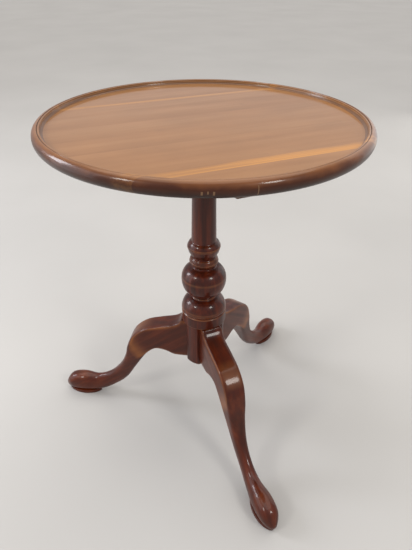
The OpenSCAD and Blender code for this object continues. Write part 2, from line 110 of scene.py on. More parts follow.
# How far the rubs in the varnish reach, out and up, and how near the leg's sides the knee's rub fades out.
# The knee's rub is also painted highlight on the top of the leg, so it stays off the shaded sides
KNEE_RUB_AND_SHEEN, TOE_RUB, SIDE_FADE = (80, 36), (60, 30), 6
# How far the lighter line of an arris, rubbed varnish and painted highlight, is from the leg's side, and its
# width
ARRIS_IN, ARRIS_W = 1.6, 1.2
# Fall of a leg's grain from the column down to the ankle, in degrees
GRAIN_FALL = 38


# ---- surfaces ----


def arc(cx, cy, rx, ry, start, end, n=16):
    """Points along an elliptic arc: centre plus the two radii times the cosine and sine, in degrees."""
    t = np.radians(np.linspace(start, end, n + 1))
    return np.column_stack([cx + rx * np.cos(t), cy + ry * np.sin(t)])


def eased(outline, radius, limit=22):
    """The outline with each corner that turns more than limit degrees rounded off.

    A corner becomes the parabola from a point just before it, by way of the corner, to a point just after:
    (1-t)^2 before + 2t(1-t) corner + t^2 after. Both lie radius away, or 0.42 of the side if that is less.
    """
    p = np.asarray(outline, float)
    back, ahead = np.diff(p, axis=0)[:-1], np.diff(p, axis=0)[1:]
    back_l, ahead_l = np.linalg.norm(back, axis=1), np.linalg.norm(ahead, axis=1)
    turn = np.degrees(np.arccos(np.clip((back * ahead).sum(1) / (back_l * ahead_l), -1, 1)))
    reach = np.where(turn > limit, radius, 0)
    before = p[1:-1] - back * np.minimum(reach / back_l, 0.42)[:, None]
    after = p[1:-1] + ahead * np.minimum(reach / ahead_l, 0.42)[:, None]
    t = np.linspace(0, 1, 5)[None, :, None]
    bend = (1 - t) ** 2 * before[:, None] + 2 * t * (1 - t) * p[1:-1, None] + t**2 * after[:, None]
    points = np.vstack([p[:1], bend.reshape(-1, 2), p[-1:]])
    apart = np.linalg.norm(np.diff(points, axis=0), axis=1) > 1e-6
    return points[np.concatenate([[True], apart])]


def pinned(outline, apart=2.5, longest=8):
    """The outline with two points added to each side over longest mm, apart mm from its ends.

    They keep the wear, painted highlight and painted shade of a corner close to it.
    """
    side = np.diff(outline, axis=0)
    length = np.linalg.norm(side, axis=1)
    near = np.where(length > longest, apart / length, 0)
    t = np.stack([0 * near, near, 1 - near], axis=1)
    points = outline[:-1, None] + t[..., None] * side[:, None]
    keep = np.stack([near >= 0, near > 0, near > 0], axis=1)
    return np.vstack([points[keep], outline[-1:]])


def bend_of(line):
    """How sharply a line turns left at each point: the turn in radians over the mean step, per mm."""
    step = np.diff(line, axis=0)
    heading = np.unwrap(np.arctan2(step[:, 1], step[:, 0]))
    length = np.linalg.norm(step, axis=1)
    turn = np.diff(heading) / np.maximum(0.5 * (length[:-1] + length[1:]), 0.05)
    return np.concatenate([[0], turn, [0]])


def grid_faces(rows, columns):
    """Quads between the neighbours of a grid of points that is joined round its columns."""
    i = np.arange(rows - 1)[:, None] * columns
    j = np.arange(columns)[None, :]
    k = (j + 1) % columns
    quads = np.stack([i + j, i + k, i + columns + k, i + columns + j], axis=-1)
    return quads.reshape(-1, 4)


def merged(points, faces):
    """A bmesh in metres from points in mm, merged at its poles and seam, with its faces turned outwards."""
    mesh = bpy.data.meshes.new("merged")
    mesh.from_pydata((np.asarray(points, float) * MM).tolist(), [], np.asarray(faces).tolist())
    made = bmesh.new()
    made.from_mesh(mesh)
    bpy.data.meshes.remove(mesh)
    bmesh.ops.remove_doubles(made, verts=made.verts, dist=2e-6)
    bmesh.ops.dissolve_degenerate(made, edges=made.edges, dist=1e-7)
    bmesh.ops.recalc_face_normals(made, faces=made.faces)
    return made


def place(made, name, finishes, body, node, timber, wear_and_painted_light=None, crease=32):
    """Puts a finished bmesh in the scene in place of a CAD node, smooth but for edges over crease degrees.

    The first of the finishes covers it, and the last covers the faces that look straight down. timber and
    the function after it take the points in mm. timber gives the place of each point in its timber, with the
    grain along the first number. The other runs from -1 in a recess, which is painted shade, to 1 on an
    arris, which is wear and a painted highlight.
    """
    mesh = bpy.data.meshes.new(name)
    made.to_mesh(mesh)
    made.free()
    spots = np.zeros(len(mesh.vertices) * 3, np.float32)
    mesh.vertices.foreach_get("co", spots)
    spots = spots.reshape(-1, 3) / MM
    rub_and_painted_light = np.zeros(len(spots)) if wear_and_painted_light is None else wear_and_painted_light(spots)
    in_timber = mesh.attributes.new("timber", "FLOAT_VECTOR", "POINT")
    in_timber.data.foreach_set("vector", np.ravel(timber(spots)))
    # This attribute holds wear and painted light: below zero painted shade, above zero rubbed varnish and
    # painted highlight
    in_wear_and_painted_light = mesh.attributes.new("wear_and_painted_light", "FLOAT", "POINT")
    in_wear_and_painted_light.data.foreach_set("value", rub_and_painted_light.astype(np.float32))
    mesh.shade_smooth()
    mesh.set_sharp_from_angle(angle=math.radians(crease))
    for finish in finishes:
        mesh.materials.append(finish)
    facing = np.zeros(len(mesh.polygons) * 3, np.float32)
    mesh.polygons.foreach_get("normal", facing)
    underneath = facing.reshape(-1, 3)[:, 2] < -0.9
    mesh.polygons.foreach_set("material_index", underneath.astype(np.int32) * (len(finishes) - 1))
    thing = bpy.data.objects.new(name, mesh)
    bpy.context.scene.collection.objects.link(thing)
    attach(thing, body)
    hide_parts(node)


# ---- finishes ----


def linear(code, alpha=1.0):
    """An sRGB hex colour as linear light: ((c + 0.055) / 1.055) ^ 2.4 above the toe and c / 12.92 below."""
    c = np.array([int(code[i : i + 2], 16) for i in (1, 3, 5)]) / 255
    light = np.where(c <= 0.04045, c / 12.92, ((c + 0.055) / 1.055) ** 2.4)
    return (*light.tolist(), alpha)


def add(tree, kind, inputs=(), out=0, stops=(), **settings):
    """Adds one node and returns its output out.

    inputs gives sockets a value or another node's output, as a tuple from the first socket on or as a dict.
    stops are a ramp's (place, colour) pairs, and settings are the node's own.
    """
    made = tree.nodes.new("ShaderNode" + kind)
    for key, value in settings.items():
        setattr(made, key, value)
    for i, (position, code) in enumerate(stops):
        stop = made.color_ramp.elements[i] if i < 2 else made.color_ramp.elements.new(position)
        stop.position = position
        stop.color = linear(code)
    for key, value in inputs.items() if isinstance(inputs, dict) else enumerate(inputs):
        if isinstance(value, bpy.types.NodeSocket):
            tree.links.new(value, made.inputs[key])
        else:
            made.inputs[key].default_value = value
    return made.outputs[out] if made.outputs else made


def new_finish(name):
    """An empty material and its node tree."""
    made = bpy.data.materials.new(name)
    made.use_nodes = True
    made.node_tree.nodes.clear()
    return made, made.node_tree


def marks(tree, spot, along, across, detail=3.0, seed=0.0):
    """The wood's marks, 0 to 1: each is about along mm long with the grain and across mm wide."""
    stretch = {"Vector": spot, "Location": (seed, 1.7 * seed, 0.6 * seed)}
    stretch["Scale"] = (1 / along, 1 / across, 1 / across)
    moved = add(tree, "Mapping", stretch)
    return add(tree, "TexNoise", {"Vector": moved, "Scale": 1.0, "Detail": detail, "Roughness": 0.55})


def laid_over(tree, ground, coats):
    """The ground colour with each coat laid over it in turn. A coat is a mask, 0 to 1, and a colour.

    The two colours of a Mix node are its inputs 6 and 7, and the mixed colour is its output 2.
    """
    for mask, colour in coats:
        ground = add(tree, "Mix", {0: mask, 6: ground, 7: colour}, out=2, data_type="RGBA")
    return ground


def lacquered(tree, colour, roughness, relief, coat):
    """Wood under a clear coat, where coat is how full the lacquer lies on it."""
    wood = {"Base Color": colour, "Roughness": roughness, "Specular IOR Level": 0.15, "Normal": relief}
    varnish = {"Coat Weight": coat, "Coat Roughness": 0.11, "Coat IOR": 1.5}
    add(tree, "OutputMaterial", {"Surface": add(tree, "BsdfPrincipled", wood | varnish)})


# Widths of the pale sapwood beside the front joint and the back joint, and how far its edge wanders, in mm
SAP_FRONT_W, SAP_BACK_W, SAP_WANDER = 20, 11, 8
# Knocks in the front edge's varnish that show pale wood: place along X, height, half length and half width
KNOCKS = ((-112, 697, 1.2, 2.4), (-105, 698, 0.9, 2.0), (-98, 697, 1.2, 2.6), (-44, 698, 0.6, 6.5))
# Place along Y in front of which the knocks are
KNOCKED_Y = -195


def streak(tree, across, joint, width, wander):
    """Mask of a streak that starts straight at a glue joint and ends width mm on at a wandering edge."""
    past_joint = add(tree, "MapRange", (across, joint, joint + 0.4))
    strayed = add(tree, "Math", (across, wander), operation="ADD")
    before_edge = add(tree, "MapRange", (strayed, joint + width - 3, joint + width + 4, 1, 0))
    return add(tree, "Math", (past_joint, before_edge), operation="MULTIPLY")


def sapwood(tree, spot_mm, x, y, timber):
    """Mask of the pale sapwood: strong behind the front joint, faint before the back one, finely lined."""
    strayed = marks(tree, spot_mm, along=170, across=60, detail=2, seed=2)
    wander = add(tree, "MapRange", (strayed, 0, 1, -SAP_WANDER, SAP_WANDER))
    front = streak(tree, y, BOARD_EDGES[1], SAP_FRONT_W, wander)
    to_right = add(tree, "MapRange", (x, -160, 40, 0.5, 1))
    front = add(tree, "Math", (front, to_right), operation="MULTIPLY")
    forwards = add(tree, "Math", (y, -1), operation="MULTIPLY")
    back = streak(tree, forwards, -BOARD_EDGES[4], SAP_BACK_W, wander)
    back = add(tree, "Math", (back, 0.55), operation="MULTIPLY")
    pale = add(tree, "Math", (front, back), operation="MAXIMUM")
    lines = marks(tree, timber, along=380, across=4.5, detail=2, seed=5)
    lined = add(tree, "MapRange", (lines, 0.36, 0.56, 0.45, 1))
    return add(tree, "Math", (pale, lined), operation="MULTIPLY")


def edge_glaze_and_shade(tree, spot_mm, radius, z, pale):
    """Mask and colour of the old glaze on the moulded edge: thick on its outside, and darkest low down and
    palest at its top, which is painted shade and painted light.
    """
    patches = marks(tree, spot_mm, along=60, across=30, detail=3, seed=8)
    patchy = add(tree, "MapRange", (patches, 0.3, 0.7, -0.16, 0.16))
    height = add(tree, "MapRange", (z, UNDERSIDE_Z, TABLE_H))
    height = add(tree, "Math", (height, patchy), operation="ADD")
    # Painted shade and painted light: the glaze's colour runs from darkest at the underside to palest at the
    # top of the edge
    shade_by_height = [(0.2, "#220A05"), (0.6, "#3E190A"), (0.98, "#6E3F1D")]
    colour = add(tree, "ValToRGB", (height,), stops=shade_by_height)
    outside = add(tree, "MapRange", (radius, TOP_R - NOSE_W, TOP_R - NOSE_W / 3, 0.35, 0.97))
    on_rim = add(tree, "MapRange", (radius, TOP_R - RIM_W, TOP_R - RIM_W + 0.6))
    thin_on_pale = add(tree, "MapRange", (pale, 0, 1, 1, 0.7))
    glaze = add(tree, "Math", (outside, on_rim), operation="MULTIPLY")
    return add(tree, "Math", (glaze, thin_on_pale), operation="MULTIPLY"), colour


def edge_painted_shade(tree, radius):
    """Mask of painted shade: a dark band in the quirk outside the small bead and at the foot of the dish's
    wall.
    """
    in_quirk = add(tree, "Math", (radius, TOP_R - NOSE_W - 0.4, 0.9), operation="COMPARE")
    at_wall = add(tree, "Math", (radius, TOP_R - RIM_W - 2.4, 2.2), operation="COMPARE")
    painted_shade = add(tree, "Math", (in_quirk, at_wall), operation="MAXIMUM")
    return add(tree, "Math", (painted_shade, 0.55), operation="MULTIPLY")


def edge_knocks(tree, x, y, z, radius):
    """Mask of the knocks, on the outside of the edge and only in front."""
    outside = add(tree, "MapRange", (radius, TOP_R - NOSE_W, TOP_R - NOSE_W + 1))
    in_front = add(tree, "MapRange", (y, KNOCKED_Y - 5, KNOCKED_Y + 5, 1, 0))
    knocked = 0.0
    for along, height, half_l, half_w in KNOCKS:
        in_length = add(tree, "Math", (x, along, half_l), operation="COMPARE")
        in_width = add(tree, "Math", (z, height, half_w), operation="COMPARE")
        knock = add(tree, "Math", (in_length, in_width), operation="MULTIPLY")
        knocked = add(tree, "Math", (knocked, knock), operation="MAXIMUM")
    on_edge = add(tree, "Math", (outside, in_front), operation="MULTIPLY")
    return add(tree, "Math", (on_edge, knocked), operation="MULTIPLY")


def polished_cherry():
    """Cherry boards under hand-rubbed lacquer, which gives a wet gloss over a silky brown-orange wood.

    Each board has its own figure. Pale sapwood runs down two of the joints, darker glaze is left on the
    moulded edge, painted shade darkens the edge low down and in its quirks while painted light makes its top
    paler, and the glaze is chipped where the edge was knocked.
    """
    made, tree = new_finish("polished_cherry")
    spot = add(tree, "TexCoord", out="Object")
    spot_mm = add(tree, "VectorMath", {0: spot, "Scale": 1 / MM}, operation="SCALE")
    flat_mm = add(tree, "VectorMath", (spot_mm, (1, 1, 0)), operation="MULTIPLY")
    radius = add(tree, "VectorMath", (flat_mm,), "Value", operation="LENGTH")
    x, y, z = (add(tree, "SeparateXYZ", (spot_mm,), axis) for axis in "XYZ")
    timber = add(tree, "Attribute", out="Vector", attribute_name="timber")

    figure = marks(tree, timber, along=420, across=34, detail=4)
    mottle = marks(tree, timber, along=90, across=60, detail=2, seed=4)
    # cherry's pores are under 0.1 mm wide, and here they are drawn ten times as coarse, so that they show
    pores = marks(tree, timber, along=11, across=1.1, detail=2, seed=9)
    smudges = marks(tree, spot_mm, along=46, across=30, detail=4, seed=6)

    browns = [(0.3, "#8D6036"), (0.5, "#936539"), (0.7, "#996B3E")]
    wood = add(tree, "ValToRGB", (figure,), stops=browns)
    tone = add(tree, "MapRange", (mottle, 0.3, 0.7, 0.93, 1.05))
    wood = add(tree, "VectorMath", {0: wood, "Scale": tone}, operation="SCALE")
    pale = sapwood(tree, spot_mm, x, y, timber)
    open_pores = add(tree, "MapRange", (pores, 0.62, 0.76, 0, 0.22))
    smudged = add(tree, "MapRange", (smudges, 0.66, 0.8, 0, 0.22))
    glaze, glaze_and_shade_colour = edge_glaze_and_shade(tree, spot_mm, radius, z, pale)
    coats = [
        (pale, linear("#BE8239")),
        (open_pores, linear("#4E2A16")),
        (smudged, linear("#4A2A18")),
        # the glaze's colour holds painted shade low on the edge and painted light at its top
        (glaze, glaze_and_shade_colour),
        # painted shade in the quirk and at the foot of the dish's wall
        (edge_painted_shade(tree, radius), linear("#34130A")),
        (edge_knocks(tree, x, y, z, radius), linear("#74563C")),
    ]
    wood = laid_over(tree, wood, coats)

    height = add(tree, "Math", (pores, 0.25, mottle), operation="MULTIPLY_ADD")
    relief = add(tree, "Bump", {"Height": height, "Strength": 0.05, "Distance": 0.0006})
    roughness = add(tree, "MapRange", (figure, 0.3, 0.7, 0.42, 0.34))
    coat = add(tree, "MapRange", (glaze, 0.2, 0.9, 0.75, 0.4))
    lacquered(tree, wood, roughness, relief, coat)
    return made


def worked_wood(name, colours, rubbed_and_lit_colour, roughness, coat, figure_w):
    """A wood that reads its place in the timber from the piece: figure, pores, worn arrises with painted
    highlight, painted shade in recesses.

    colours are its darkest, middle and lightest, and the third is its colour where the finish is rubbed
    through, which there also stands for painted highlight.
    figure_w is the width of its stripes in mm.
    """
    made, tree = new_finish(name)
    dark, middle, light = colours
    timber = add(tree, "Attribute", out="Vector", attribute_name="timber")
    wear_and_painted_light = add(tree, "Attribute", out="Fac", attribute_name="wear_and_painted_light")
    figure = marks(tree, timber, along=16 * figure_w, across=figure_w, detail=4)
    mottle = marks(tree, timber, along=60, across=36, detail=2, seed=3)
    # pores are drawn several times as coarse as a close-grained wood's own, so that they show
    pores = marks(tree, timber, along=9, across=0.9, detail=2, seed=7)

    wood = add(tree, "ValToRGB", (figure,), stops=[(0.3, dark), (0.5, middle), (0.7, light)])
    tone = add(tree, "MapRange", (mottle, 0.3, 0.7, 0.82, 1.14))
    wood = add(tree, "VectorMath", {0: wood, "Scale": tone}, operation="SCALE")
    open_pores = add(tree, "MapRange", (pores, 0.6, 0.76, 0, 0.4))
    uneven = add(tree, "MapRange", (mottle, 0.35, 0.6, 0.35, 0.85))
    # Rubbed varnish and painted highlight where the attribute is above zero
    rub_and_painted_light = add(tree, "MapRange", (wear_and_painted_light, 0.2, 1))
    rub_and_painted_light = add(tree, "Math", (rub_and_painted_light, uneven), operation="MULTIPLY")
    # Painted shade: nearly black where the attribute is below zero, in the grooves and concave corners of
    # the column
    painted_shade = add(tree, "MapRange", (wear_and_painted_light, -0.1, -0.9, 0, 0.75))
    coats = [(open_pores, linear(dark)), (rub_and_painted_light, linear(rubbed_and_lit_colour)), (painted_shade, linear("#140806"))]
    wood = laid_over(tree, wood, coats)

    height = add(tree, "Math", (pores, 0.4, mottle), operation="MULTIPLY_ADD")
    relief = add(tree, "Bump", {"Height": height, "Strength": 0.08, "Distance": 0.0008})
    uneven_gloss = add(tree, "MapRange", (figure, 0.3, 0.7, roughness + 0.06, roughness - 0.04))
    lacquered(tree, wood, uneven_gloss, relief, coat)
    return made


def metal(name, bright, dull, roughness, patch_mm):
    """A metal with dull patches patch_mm across and fine scratches."""
    made, tree = new_finish(name)
    spot = add(tree, "TexCoord", out="Object")
    spot_mm = add(tree, "VectorMath", {0: spot, "Scale": 1 / MM}, operation="SCALE")
    patches = marks(tree, spot_mm, along=patch_mm, across=patch_mm, detail=4)
    # scratches are drawn 0.5 mm wide, several times as coarse as real ones, so that they show
    scratches = marks(tree, spot_mm, along=14, across=0.5, detail=2, seed=5)
    colour = add(tree, "ValToRGB", (patches,), stops=[(0.38, dull), (0.62, bright)])
    polish = add(tree, "MapRange", (patches, 0.35, 0.65, roughness + 0.16, roughness))
    relief = add(tree, "Bump", {"Height": scratches, "Strength": 0.12, "Distance": 0.0004})
    skin = {"Base Color": colour, "Metallic": 1.0, "Roughness": polish, "Normal": relief}
    add(tree, "OutputMaterial", {"Surface": add(tree, "BsdfPrincipled", skin)})
    return made


CHERRY = polished_cherry()
# stained and varnished hardwood, red-brown where light comes through the coat; the near-black in its
# recesses is painted shade
STAINED_REDS = ("#2E0E06", "#451608", "#5C230E")
# its golden brown on the column's convex bends and in thin lines at its arrises is rubbed varnish and
# painted highlight
STAINED = worked_wood("stained_hardwood", STAINED_REDS, "#84502C", roughness=0.36, coat=0.4, figure_w=9)
# the same stain over paler wood, rubbed to a golden brown on the arrises, knees and toes; on the arrises and
# the knee's crest that golden brown is also painted highlight
LEG_REDS = ("#3C160A", "#4B1B0A", "#5C260F")
STAINED_LEGS = worked_wood("rubbed_hardwood_with_painted_highlight", LEG_REDS, "#895126", roughness=0.36, coat=0.36, figure_w=13)
# wood under the top that was planed and only lightly stained, so it stays dull
PLANED_BROWNS = ("#3E2213", "#54311C", "#6B4227")
PLANED = worked_wood("planed_hardwood", PLANED_BROWNS, "#7A5132", roughness=0.55, coat=0.0, figure_w=11)
# cast and turned brass, polished once and since dulled by handling, so it shines only in patches
BRASS = metal("aged_brass", "#D9B56A", "#8A6A35", roughness=0.26, patch_mm=9)
# forged iron and steel screws with a black oxide skin, which gives a dull sheen
IRON = metal("blackened_iron", "#5B5752", "#2B2826", roughness=0.42, patch_mm=7)


# ---- the boards of the dished top ----

# Sides of the turned disc, and how far apart in the timber two neighbouring boards were sawn
TOP_SIDES = 480
NEXT_BOARD = np.array([310, 70, 0])


def top_outline():
    """Half outline of the top as [radius, height]: underside, rounded edge, quirk, bead, cove and dish."""
    inner = TOP_R - RIM_W
    bead_r = BEAD_W / 2
    quirk = TOP_R - NOSE_W - 0.5
    return np.vstack(
        [
            [[0, UNDERSIDE_Z], [TOP_R - NOSE_W, UNDERSIDE_Z]],
            arc(TOP_R - NOSE_W, TABLE_H - TOP_T / 2, NOSE_W, TOP_T / 2, -80, 90, 30),
            [[quirk, TABLE_H - BEAD_H]],
            arc(quirk - bead_r, TABLE_H - BEAD_H - 0.2, bead_r - 0.1, BEAD_H, 10, 170, 12),
            [[inner + 0.2, TABLE_H - 2.6]],
            arc(inner - COVE_R - 0.4, DISH_Z + COVE_R, COVE_R + 0.3, COVE_R, 0, -90, 10),
            [[inner - 9, DISH_Z], [0, DISH_Z]],
        ]
    )


def make_boards():
    """The top is turned as one disc, [r cos a, r sin a, z] along its outline. A board is a slice of it."""
    outline = eased(top_outline(), 0.4)
    a = np.arange(TOP_SIDES) * 2 * np.pi / TOP_SIDES
    r, z = outline[:, :1], outline[:, 1:]
    points = np.stack([r * np.cos(a), r * np.sin(a), z + 0 * a], axis=-1).reshape(-1, 3)
    disc = merged(points, grid_faces(len(outline), TOP_SIDES))
    for count, name in enumerate(BOARDS):
        board = disc.copy()
        for side, cut in ((-1, BOARD_EDGES[count]), (1, BOARD_EDGES[count + 1])):
            everything = board.verts[:] + board.edges[:] + board.faces[:]
            at = {"plane_co": (0, cut * MM, 0), "plane_no": (0, side, 0)}
            found = bmesh.ops.bisect_plane(board, geom=everything, clear_outer=True, **at)
            edges = [e for e in found["geom_cut"] if isinstance(e, bmesh.types.BMEdge)]
            if edges:
                bmesh.ops.edgeloop_fill(board, edges=edges)
        bmesh.ops.recalc_face_normals(board, faces=board.faces)
        shift = count * NEXT_BOARD
        place(board, f"{name}_turned", [CHERRY, PLANED], "top", name, lambda p, s=shift: p + s)
    disc.free()


# ---- the turned column ----


def column_outline():
    """Half outline of the column as [radius, height], from the axis at its foot to the end of its tenon."""
    bead_z, ball_z = BAND_Z + BASE_BEAD_UP, BAND_Z + BALL_UP
    ring_z, collar_z = BAND_Z + RING_UP, BAND_Z + COLLAR_UP
    top_z = COLUMN_TOP_Z - TENON_SUNK
    return np.vstack(
        [
            [[0, FOOT_Z], [FOOT_R - 2, FOOT_Z], [FOOT_R, FOOT_Z + 2], [FOOT_R, SHOULDER_Z - 0.02]],
            [[FOOT_R, BAND_Z], [BAND_R - 1, BAND_Z], [BAND_R, BAND_Z + 1], [BAND_R, BAND_Z + BAND_H - 1]],
            [[BAND_R - 1, BAND_Z + BAND_H], [BAND_R - 2.5, BAND_Z + BAND_H + 1]],
            arc(BASE_BEAD_R - 5, bead_z - 4, 5, 5.5, -60, 0, 12),
            [[BASE_BEAD_R - 0.4, bead_z]],
            arc(BASE_BEAD_R - 24.3, bead_z - 4, 23.6, 28, 15, 80, 26),
            [[26, bead_z + 24.6], [26, bead_z + 26], [24.8, bead_z + 26.8]],
            [[25.6, ball_z - 41.5], [29, ball_z - 38.5], [33.4, ball_z - 33]],
            arc(24.6, ball_z - 1, BALL_R - 24.6, 35, -46, 0, 18),
            [[BALL_R - 0.5, ball_z + BALL_ARRIS_UP]],
            arc(24, ball_z - 2, BALL_R - 23.8, 30, 18, 84, 26),
            [[24, ring_z - 12.5], [24, ring_z - 9.5]],
            arc(22.5, ring_z, RING_R - 22.5, 8.6, -68, 0, 12),
            arc(22.5, ring_z + 0.4, RING_R - 23.1, 9, 0, 70, 12),
            [[24, ring_z + 9.8], [27, collar_z - 16], [30.8, collar_z - 9.3]],
            [[COLLAR_R - 0.8, collar_z - 2.5], [COLLAR_R, collar_z]],
            [[COLLAR_R - 0.2, collar_z + COLLAR_ARRIS_UP]],
            arc(20, collar_z - 2, COLLAR_R - 20.1, 17, 24, 64, 16),
            [[SHAFT_LOW_R, collar_z + 15], [SHAFT_TOP_R, BLOCK_LOW_Z], [TENON_R, BLOCK_LOW_Z]],
            [[TENON_R, top_z], [0, top_z]],
        ]
    )


def make_column():
    """[r cos a, r sin a, z] along the outline. Below the legs' shoulders r is at most flat_r.

    flat_r is FLAT_S over the cosine of the angle to the nearest leg, which makes the flats.
    """
    outline = pinned(eased(column_outline(), 0.7))
    half = math.degrees(math.acos(FLAT_S / FOOT_R))
    arrises = np.array([[g - half, g + half] for g in LEG_ANGLES.values()]).ravel() % 360
    beside = np.concatenate([arrises - 0.6, arrises, arrises + 0.6])
    a = np.radians(np.unique(np.concatenate([np.arange(0, 360, 1.25), beside])))
    off_leg = [np.abs((a - math.radians(g) + np.pi) % (2 * np.pi) - np.pi) for g in LEG_ANGLES.values()]
    flat_r = FLAT_S / np.maximum(np.cos(np.min(off_leg, axis=0)), 0.3)
    r = np.repeat(outline[:, :1], len(a), axis=1)
    below = outline[:, 1] < SHOULDER_Z - 0.01
    r[below] = np.minimum(r[below], flat_r)
    z = np.repeat(outline[:, 1:], len(a), axis=1)
    points = np.stack([r * np.cos(a), r * np.sin(a), z], axis=-1).reshape(-1, 3)
    bend = np.clip(bend_of(outline) * SHARP_R, -1, 1)
    # Heights of the thin lighter lines at the arrises, rubbed varnish and painted highlight
    arris_up = [1, BASE_BEAD_UP, BALL_UP + BALL_ARRIS_UP, RING_UP, COLLAR_UP + COLLAR_ARRIS_UP]
    arris_z = BAND_Z + np.array(arris_up)

    def wear_and_painted_light(p):
        """The outline's bend at the point's height, or exp(-d^2) for the distance d to an arris. A convex
        bend and the line at an arris are rubbed varnish and painted highlight, a concave bend is painted
        shade.
        """
        off = np.abs(p[:, 2:] - arris_z).min(1)
        return np.maximum(np.interp(p[:, 2], outline[:, 1], bend), 0.55 * np.exp(-(off**2)))

    place(
        merged(points, grid_faces(len(outline), len(a))),
        "column_turned",
        [STAINED],
        "base",
        "column",
        timber=lambda p: p[:, [2, 0, 1]],
        wear_and_painted_light=wear_and_painted_light,
        crease=26,
    )


# ---- the cabriole legs ----

# Each row is one slice through the leg, as hundredths of the reach beyond the flat and of the
# shoulder's height: top line out, top line up, bottom line out, bottom line up.
SLICES = np.array(
    [
        [0, 100, 0, 61.9],
        [4.2, 100, 4, 61.9],
        [5.6, 97.4, 5.2, 61.9],
        [8, 94.8, 7.4, 61.9],
        [12, 92.6, 10.8, 62.5],
        [20.8, 89.8, 16.4, 65.5],
        [31, 85.5, 23.4, 66.1],
        [39.6, 77.1, 29.8, 60],
        [44.6, 64.8, 35, 50.7],
        [47.8, 50.9, 41, 38.4],
        [53.6, 36.7, 48.2, 23.9],
        [62.8, 25.3, 57.2, 13.5],
        [73.4, 19.6, 68, 5.1],
        [85, 19.6, 80.4, 2.1],
        [94.6, 16.1, 91.4, 1.9],
        [99.8, 6.3, 97.8, 2.1],
    ]
)
# Width of each slice as a share of the way from the ankle to the knee, or to the foot past the ankle
KNEE_SHARE = [1, 1, 1, 1, 1, 1, 1, 0.96, 0.78, 0.44, 0.12, 0, 0, 0, 0, 0]
FOOT_SHARE = [0, 0, 0, 0, 0, 0, 0, 0, 0, 0, 0, 0, 0.3, 1, 0.72, -0.9]
# Squareness of each slice: 2 is an ellipse and more is closer to a rectangle
SQUARENESS = [9, 9, 9, 9, 9, 9, 9, 8, 6, 3.8, 2.6, 2.2, 2.1, 2.3, 2.3, 2.1]
# How much of the last gap between slices the toe closes in
TOE_CLOSING = 0.35
# The pad's edge from the floor up: its size as a share of the full pad, and its height
PAD_EDGE = np.array(
    [[0.97, 0], [0.985, 0.3], [0.996, 0.9], [1, 1.6], [1, PAD_T - 1], [0.985, PAD_T - 0.2], [0.96, PAD_T]]
)


def smooth_through(values, u):
    """A Catmull-Rom curve through the values, read at the places u that count along them."""
    v = np.asarray(values, float)
    last = len(v) - 1
    i = np.minimum(np.floor(u).astype(int), last - 1)
    t = u - i
    a, b, c, d = v[np.maximum(i - 1, 0)], v[i], v[i + 1], v[np.minimum(i + 2, last)]
    square, cube = 2 * a - 5 * b + 4 * c - d, 3 * b - a - 3 * c + d
    return 0.5 * (2 * b + (c - a) * t + square * t**2 + cube * t**3)


def leg_rings(steps, ring):
    """Points of the leg as (slice, place round it, [out, side, up]).

    Slices follow smooth curves. Round a slice the side is half the width times cos^(2/n) and the rise is
    half the depth times sin^(2/n), where n is its squareness. The last slices shrink as a quarter circle.
    """
    last = len(SLICES) - 1
    u = np.linspace(0, last, steps)
    reach = LEG_REACH - FLAT_S
    top_out, top_up, low_out, low_up = (smooth_through(SLICES[:, c], u) / 100 for c in range(4))
    top = np.stack([FLAT_S + reach * top_out, SHOULDER_Z * np.minimum(1, top_up)], axis=1)
    low = np.stack([FLAT_S + reach * low_out, SHOULDER_Z * low_up], axis=1)
    half = (ANKLE_T + (LEG_T - ANKLE_T) * smooth_through(KNEE_SHARE, u)) / 2
    half = half + (FOOT_W - ANKLE_T) * smooth_through(FOOT_SHARE, u) / 2
    to_toe = np.clip((u - last + TOE_CLOSING) / TOE_CLOSING, 0, 1)
    closing = np.sqrt(np.maximum(1 - to_toe**2, 0))
    middle, rise = (top + low) / 2, (top - low) / 2 * closing[:, None]
    t = 2 * np.pi * (np.arange(ring) + 0.5) / ring
    power = (2 / smooth_through(SQUARENESS, u))[:, None]
    side = (half * closing)[:, None] * np.sign(np.cos(t)) * np.abs(np.cos(t)) ** power
    up = np.sign(np.sin(t)) * np.abs(np.sin(t)) ** power
    line = middle[:, None] + rise[:, None] * up[..., None]
    return np.stack([line[..., 0], side, line[..., 1]], axis=-1)


def pad_rings(ring):
    """The pad under the foot: a long oval, x = cos and half width (1 - x^2)^0.62, eased at its edges."""
    scale, z = PAD_EDGE[:, :1], PAD_EDGE[:, 1:]
    t = 2 * np.pi * np.arange(ring) / ring
    x = np.cos(t)
    width = (FOOT_W / 2 - PAD_INSET) * np.maximum(1 - x**2, 0) ** 0.62 * np.sign(np.sin(t))
    return np.stack([PAD_MIDDLE + scale * PAD_L / 2 * x, scale * width, z + 0 * x], axis=-1)


def capped(rings):
    """A tube's points and faces, closed at each end by a fan to the middle of its last ring."""
    count, ring = rings.shape[:2]
    ends = np.stack([np.broadcast_to(rings[i].mean(0), (ring, 3)) for i in (0, -1)])
    full = np.concatenate([ends[:1], rings, ends[1:]])
    return full.reshape(-1, 3), grid_faces(count + 2, ring)


def turned_about(points, angle):
    """Points in mm turned by angle degrees about the column's axis."""
    a = math.radians(angle)
    x, y = points[:, 0], points[:, 1]
    across = [x * math.cos(a) - y * math.sin(a), x * math.sin(a) + y * math.cos(a), points[:, 2]]
    return np.column_stack(across)


def rub_and_sheen(q, peak, middle, reach):
    """A rub in the varnish at points q, which on the knee is also painted highlight: peak - (distance out /
    reach out)^2 - (distance up / reach up)^2.
    """
    out, up = (q[:, 0] - middle[0]) / reach[0], (q[:, 2] - middle[1]) / reach[1]
    return peak - out**2 - up**2


